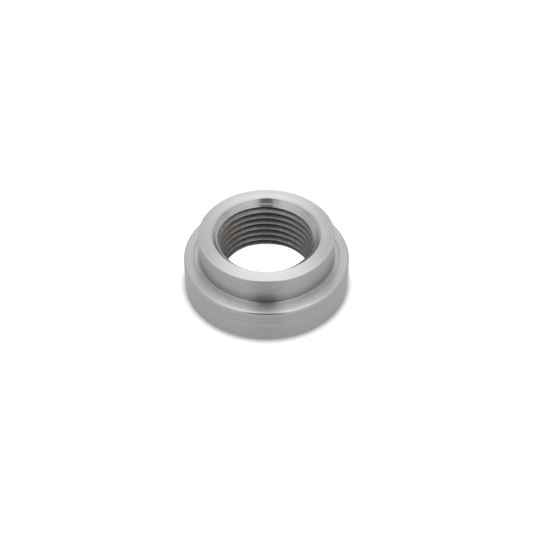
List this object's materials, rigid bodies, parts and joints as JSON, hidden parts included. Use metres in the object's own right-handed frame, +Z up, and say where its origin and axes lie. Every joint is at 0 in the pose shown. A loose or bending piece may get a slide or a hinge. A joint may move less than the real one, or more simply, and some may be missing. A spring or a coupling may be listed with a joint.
{
  "type": "weld bung",
  "caption": "Turned steel weld bung: a thick round flange with a narrower boss on it and a tapped pipe-thread hole right through, countersunk at each end.",
  "frame": {"origin": "centre of the flange's flat base, on the bung's axis", "axes": "+Z up the axis, from the flange's base to the end of the boss; +X and +Y are any two directions across it"},
  "size_m": [0.0412, 0.0412, 0.0163],
  "materials": {
    "body": "bare turned steel with fine lathe lines"
  },
  "bodies": {
    "root": {"bung_body": "body"}
  },
  "joints": []
}
